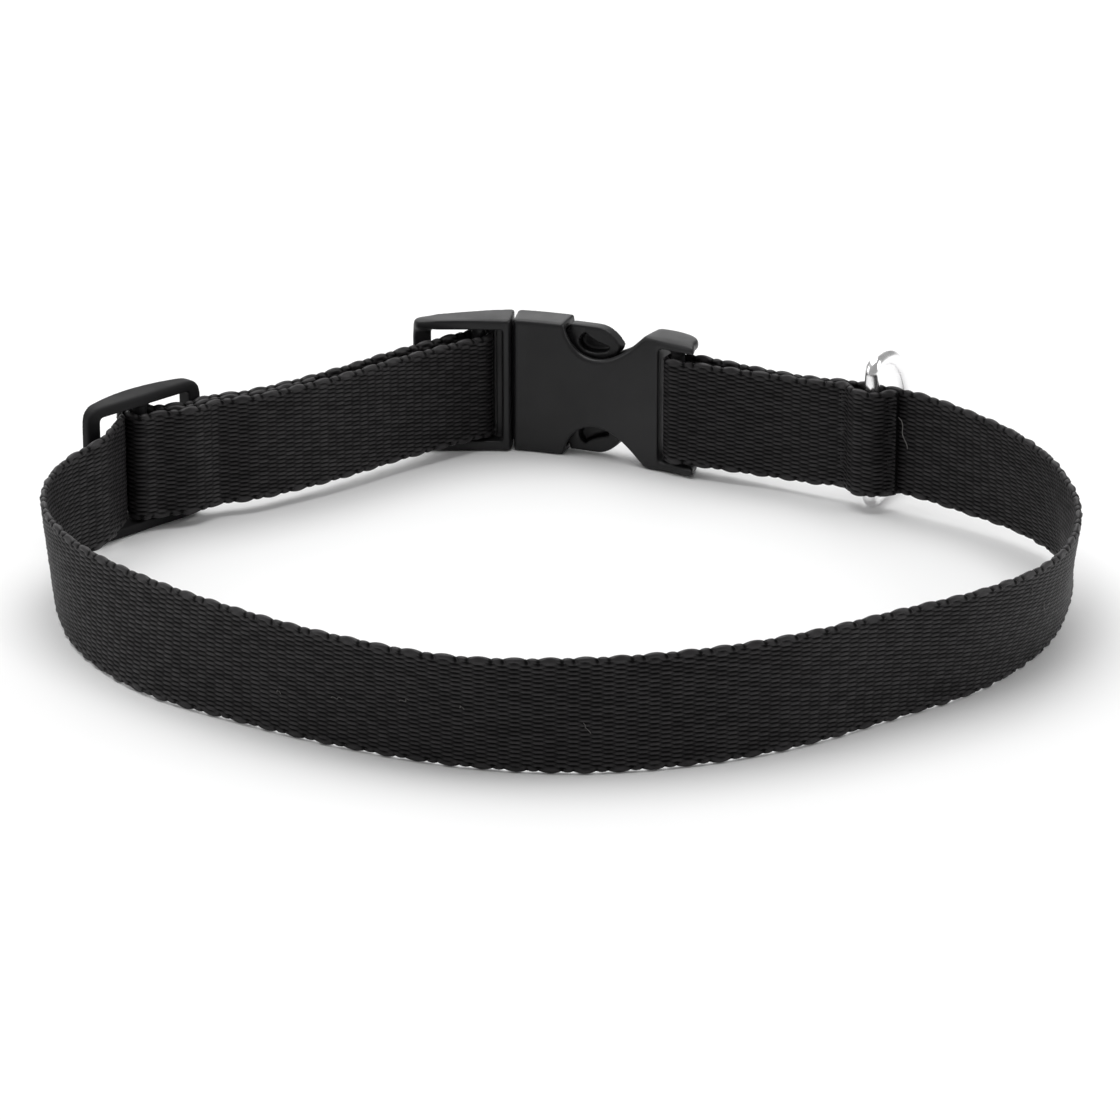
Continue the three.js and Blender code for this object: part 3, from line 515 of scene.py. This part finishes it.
def rods(lines, radius, sides):
    """Thin round rods along rows of points, all in one: points and faces. A direction that no
    thread has, the askew one, settles where each rod's first side is."""
    points, faces, start = [], [], 0
    for line in lines:
        way = np.gradient(line, axis=0)
        way /= np.linalg.norm(way, axis=1)[:, None]
        across = np.cross(way, way[0] + ASKEW)
        across /= np.linalg.norm(across, axis=1)[:, None]
        other = np.cross(way, across)
        turn = np.linspace(0, 2 * np.pi, sides, endpoint=False)[None, :, None]
        circle = np.cos(turn) * across[:, None] + np.sin(turn) * other[:, None]
        rings = line[:, None] + radius * circle
        points.append(rings.reshape(-1, 3))
        faces += [[start + n for n in face] for face in skin_faces(rings)]
        start += rings.shape[0] * rings.shape[1]
    return np.concatenate(points), faces


def thread_piece(name, lines, radius, material):
    """Threads along rows of points, as one object on the collar, with the imported webbing hidden.
    What would reach below the table is laid on it."""
    points, faces = rods(lines, radius, TIE_SIDES)
    points[:, 2] = np.maximum(points[:, 2], 0)
    piece = piece_of(name, points, faces)
    piece.data.materials.append(material)
    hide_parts("webbing")
    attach(piece, "collar")


def thread_material(name, color):
    """Twisted thread: a slightly glossy fibre with an uneven twist."""
    material, tree, shader = new_material(name)
    place = tree.nodes.new("ShaderNodeTexCoord")
    grain, patches = surface_detail(tree, place.outputs["Object"], THREAD_GRAIN_SCALE)
    dark, light = (toned(color, factor) for factor in THREAD_TONES)
    tree.links.new(mixed(tree, patches, dark, light), shader.inputs["Base Color"])
    tree.links.new(spread(tree, grain, NOISE_SPAN, THREAD_ROUGHNESS), shader.inputs["Roughness"])
    bumped(tree, shader, grain, strength=0.4, distance=0.05)
    shader.inputs["Specular IOR Level"].default_value = 0.3
    return material


def on_strap(along, level, out):
    """Points given by length along the strap, height on it and distance from its middle."""
    middle, up, side = strap_frames(along)
    return middle + up * np.asarray(level)[:, None] + side * np.asarray(out)[:, None]


def tie_lines():
    """One tie at every dip between two edge loops, bent over the edge from face to face."""
    dips = np.arange(1, walked[-1] // LOOP_PERIOD) * LOOP_PERIOD
    dips = np.concatenate([dips, dips + LOOP_SHARE * LOOP_PERIOD])
    turn = np.radians(TIE_TURNS_DEG)
    slant = TIE_SLANT * np.sin(turn)
    lines = []
    for edge in (-1, 1):
        level = edge * (TIE_FOOT + TIE_RISE * np.cos(turn))
        lines += [on_strap(dip + slant, level, TIE_REACH * np.sin(turn)) for dip in dips]
    return lines


thread = thread_material("black thread", THREAD_COLOR)
thread_piece("webbing_edge_ties", tie_lines(), TIE_RADIUS, thread)


def tack_lines(centre):
    """A column of short rungs over the strap's width, on the face that lies open."""
    along = centre + TACK_SHARES * TACK_HALF_LENGTH
    levels = np.arange(-TACK_TOP, TACK_TOP, TACK_PITCH)
    return [on_strap(along, 0 * along + level, TACK_DROPS - TACK_STAND_OUT) for level in levels]


# Within the strap's first twelfth lie its sewn end and the pocket's inner layer. The outer layer
# comes after it.
past_pocket = last_station // 12
tacks = []
for centre in TACKS_ALONG:
    x, y = on_strap(np.array([centre]), [0], [0])[0, :2]
    outer = stations[station_near(x, y, start=past_pocket)]
    tacks += tack_lines(centre) + tack_lines(outer)
thread_piece("webbing_bar_tacks", tacks, TACK_RADIUS, thread)

# The loose end hangs down from the sewn end: it swings away from the strap at once, then waves a
# little, and bends out from the strap's face halfway down.
LOOSE_THREAD_RADIUS = 0.11
LOOSE_THREAD_AT = 0.06
LOOSE_THREAD_TOP = 6.2
LOOSE_THREAD_LENGTH = 7.0
LOOSE_THREAD_START = 0.1
LOOSE_THREAD_SWING = 2.4
LOOSE_THREAD_WAVE = 0.25
LOOSE_THREAD_WAVES = 9
LOOSE_THREAD_OUT = 0.25
LOOSE_THREAD_BEND = 0.5
LOOSE_THREAD_POINTS = 14
LINT_COLOR = (0.15, 0.145, 0.14)

lint = thread_material("pale lint", LINT_COLOR)
drop = np.linspace(0, 1, LOOSE_THREAD_POINTS)
sewn_middle, sewn_up, sewn_side = (
    part[0] for part in strap_frames(np.array([LOOSE_THREAD_AT])))
sewn_way = np.cross(sewn_up, sewn_side)
sunk = LOOSE_THREAD_TOP - LOOSE_THREAD_LENGTH * drop
swung = (-LOOSE_THREAD_START - LOOSE_THREAD_SWING * np.sqrt(drop)
         - LOOSE_THREAD_WAVE * np.sin(LOOSE_THREAD_WAVES * drop))
bent = LOOSE_THREAD_OUT - LOOSE_THREAD_BEND * np.sin(np.pi * drop)
loose_line = (sewn_middle + sewn_up * sunk[:, None] + sewn_way * swung[:, None]
              + sewn_side * bent[:, None])
thread_piece("webbing_loose_thread", [loose_line], LOOSE_THREAD_RADIUS, lint)

LINT_RADIUS = 0.045
LINT_COUNT = 9
LINT_STAND_OUT = 0.86
LINT_POINTS = 9
LINT_PLACES = (0.1, 0.75)
LINT_LENGTHS = (0.5, 1.4)
LINT_BEND = 0.25
LINT_BAND = 18


def lint_lines():
    """Short bent fibres that cling to the strap's open face: random places, turns and bends."""
    lines = []
    for n in range(LINT_COUNT):
        place, height, turn, size = (scatter(n + 1, k) for k in (1, 2, 3, 4))
        along = walked[-1] * (LINT_PLACES[0] + LINT_PLACES[1] * place)
        share = np.linspace(-1, 1, LINT_POINTS)
        length = LINT_LENGTHS[0] + LINT_LENGTHS[1] * size
        run = share * length * np.cos(np.pi * turn) + LINT_BEND * np.sin(4 * share + 6 * turn)
        climb = share * length * np.sin(np.pi * turn) + LINT_BEND * np.cos(5 * share + 4 * turn)
        level = LINT_BAND * (height - 0.5) + climb
        lines.append(on_strap(along + run, level, 0 * share - LINT_STAND_OUT))
    return lines


thread_piece("webbing_lint", lint_lines(), LINT_RADIUS, lint)

# The D-ring: a steel rod bent to a D, welded in its straight bar and plated, bright but not quite
# a mirror. The bar lies in the strap's pocket, and the bow stands out at the back.
RING_ROD = 3.4
RING_SIDES = 32
RING_CORNER = 2.2
BAR_POINTS = 14
CORNER_POINTS = 12
BOW_POINTS = 60
RING_COLOR = (0.93, 0.925, 0.93, 1)
RING_GRAIN_SCALE = 5000
RING_ROUGHNESS = (0.16, 0.3)

ring_corners, _ = solid_corners(frame["nodes"]["d_ring"])
ring_centre = np.array(frame["joints"][0]["pos_m"]) / MM
bow_end = ring_corners[np.argmax(np.hypot(*(ring_corners[:, :2] - ring_centre[:2]).T))]
bow_reach = np.hypot(*(bow_end[:2] - ring_centre[:2]))
bow_way = (bow_end[:2] - ring_centre[:2]) / bow_reach
ring_half = (np.ptp(ring_corners[:, 2]) - RING_ROD) / 2
ring_depth = bow_reach - RING_ROD / 2


def arc(centre, radius, start, stop, count):
    """Points of a circular arc, angles in degrees, in the ring's own plane."""
    turn = np.radians(np.linspace(start, stop, count))
    return np.stack([centre[0] + radius * np.cos(turn), centre[1] + radius * np.sin(turn)], -1)


# One turn round the ring's plane: the bar, a corner, the bow with its legs, the other corner.
leg = ring_depth - ring_half
bar_half = ring_half - RING_CORNER
ring_line = np.concatenate([
    np.stack([np.zeros(BAR_POINTS), np.linspace(-bar_half, bar_half, BAR_POINTS)], -1),
    arc((RING_CORNER, bar_half), RING_CORNER, 180, 90, CORNER_POINTS)[1:],
    arc((leg, 0), ring_half, 90, -90, BOW_POINTS),
    arc((RING_CORNER, -bar_half), RING_CORNER, -90, -180, CORNER_POINTS)[:-1],
])
ring_way = np.roll(ring_line, -1, axis=0) - np.roll(ring_line, 1, axis=0)
ring_way /= np.linalg.norm(ring_way, axis=1)[:, None]
turn = np.linspace(0, 2 * np.pi, RING_SIDES, endpoint=False)
out_plane = ring_line[:, None] + RING_ROD / 2 * np.cos(turn)[None, :, None] * np.stack(
    [ring_way[:, 1], -ring_way[:, 0]], -1)[:, None]
off_plane = RING_ROD / 2 * np.sin(turn)[None, :] + 0 * out_plane[..., 0]
ring_rings = np.stack([
    ring_centre[0] + out_plane[..., 0] * bow_way[0] - off_plane * bow_way[1],
    ring_centre[1] + out_plane[..., 0] * bow_way[1] + off_plane * bow_way[0],
    ring_centre[2] + out_plane[..., 1],
], -1)
d_ring = piece_of(
    "d_ring_rod", ring_rings.reshape(-1, 3), skin_faces(ring_rings, closed_along=True))

chrome, chrome_tree, chrome_shader = new_material("polished chrome")
chrome_shader.inputs["Base Color"].default_value = RING_COLOR
chrome_shader.inputs["Metallic"].default_value = 1.0
ring_place = chrome_tree.nodes.new("ShaderNodeTexCoord")
ring_grain, ring_patches = surface_detail(
    chrome_tree, ring_place.outputs["Object"], RING_GRAIN_SCALE)
ring_dullness = spread(chrome_tree, ring_patches, NOISE_SPAN, RING_ROUGHNESS)
chrome_tree.links.new(ring_dullness, chrome_shader.inputs["Roughness"])
bumped(chrome_tree, chrome_shader, ring_grain, strength=0.05, distance=0.01)
d_ring.data.materials.append(chrome)
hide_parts("d_ring")
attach(d_ring, "ring")

# The buckle and the slider: moulded in black acetal, with soft edges and the faint grain that the
# mould leaves on every face. The wings and the base's end are rounder than the rest.
NET_SIZE = 0.3
RELAX_SHARE = 0.5
RELAX_PASSES = 5
SOFT_PASSES = 45
SOFT_FADE = 3.0
MOULD_MIDDLE = 15.9
RAIL_LEVEL = 11.5
WING_START = 21
BASE_END_START = -28
MOULD_GRAIN_SCALE = 3200
MOULD_DARK = (0.0078, 0.0076, 0.0083)
MOULD_LIGHT = (0.0115, 0.0112, 0.0120)


def relaxed(points, edges, weight, passes):
    """Moves every point part of the way to the mean of its neighbours, over and over."""
    ends = np.concatenate([edges, edges[:, ::-1]])
    count = np.bincount(ends[:, 0], minlength=len(points))
    for _ in range(passes):
        total = [np.bincount(ends[:, 0], points[ends[:, 1], k], len(points)) for k in range(3)]
        points = points + weight[:, None] * (np.stack(total, -1) / count[:, None] - points)
    return points


def moulded(node, name, soft):
    """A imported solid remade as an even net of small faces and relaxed, which rounds its edges. The
    function soft gives each point's share of the further passes."""
    source = frame["nodes"][node].data.copy()
    rough = bpy.data.objects.new(name, source)
    bpy.context.scene.collection.objects.link(rough)
    net = rough.modifiers.new("net", "REMESH")
    net.mode = "VOXEL"
    net.voxel_size = NET_SIZE * MM
    mesh = bpy.data.meshes.new_from_object(
        rough.evaluated_get(bpy.context.evaluated_depsgraph_get()))
    bpy.data.objects.remove(rough)
    mesh.name = name
    points = np.empty(len(mesh.vertices) * 3)
    mesh.vertices.foreach_get("co", points)
    edges = np.empty(len(mesh.edges) * 2, np.int64)
    mesh.edges.foreach_get("vertices", edges)
    points, edges = points.reshape(-1, 3) / MM, edges.reshape(-1, 2)
    points = relaxed(points, edges, np.full(len(points), RELAX_SHARE), RELAX_PASSES)
    if soft:
        points = relaxed(points, edges, RELAX_SHARE * soft(points), SOFT_PASSES)
    mesh.vertices.foreach_set("co", (points * MM).ravel())
    mesh.materials.clear()
    mesh.polygons.foreach_set("use_smooth", np.ones(len(mesh.polygons), bool))
    mesh.update()
    piece = bpy.data.objects.new(name, mesh)
    bpy.context.scene.collection.objects.link(piece)
    return piece


def rail_share(points):
    """1 on the moulding's upper and lower rails, 0 between them."""
    return np.clip((np.abs(points[:, 2] - MOULD_MIDDLE) - RAIL_LEVEL) / SOFT_FADE, 0, 1)


def wing_share(points):
    """1 on the female half's two wings, fading to 0 towards its waist."""
    return rail_share(points) * np.clip((points[:, 0] - WING_START) / SOFT_FADE, 0, 1)


def base_end_share(points):
    """1 on the corners at the male base's end, fading to 0 along its rails."""
    return rail_share(points) * np.clip((BASE_END_START - points[:, 0]) / SOFT_FADE, 0, 1)


def acetal(name, shine, dull):
    """Black moulded plastic: a fine grain, and patches that are a little lighter and duller. The
    shine is the shader's specular level, and dull is the span of its roughness."""
    material, tree, shader = new_material(name)
    place = tree.nodes.new("ShaderNodeTexCoord")
    grain, patches = surface_detail(tree, place.outputs["Object"], MOULD_GRAIN_SCALE)
    tree.links.new(mixed(tree, patches, MOULD_DARK, MOULD_LIGHT), shader.inputs["Base Color"])
    tree.links.new(spread(tree, patches, NOISE_SPAN, dull), shader.inputs["Roughness"])
    bumped(tree, shader, grain, strength=0.3, distance=0.05)
    shader.inputs["Specular IOR Level"].default_value = shine
    return material


buckle_acetal = acetal("black acetal", 0.36, (0.36, 0.5))
slider_acetal = acetal("dull black acetal", 0.14, (0.52, 0.66))

for node, name, slot, soft, plastic in [
    ("female_buckle", "female_buckle_moulding", "buckle_plastic", wing_share, buckle_acetal),
    ("male_buckle", "male_buckle_moulding", "buckle_plastic", base_end_share, buckle_acetal),
    ("slider", "slider_moulding", "slider_plastic", None, slider_acetal),
]:
    piece = moulded(node, name, soft)
    piece.data.materials.append(plastic)
    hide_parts(node)
    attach(piece, "collar")

bpy.context.view_layer.update()
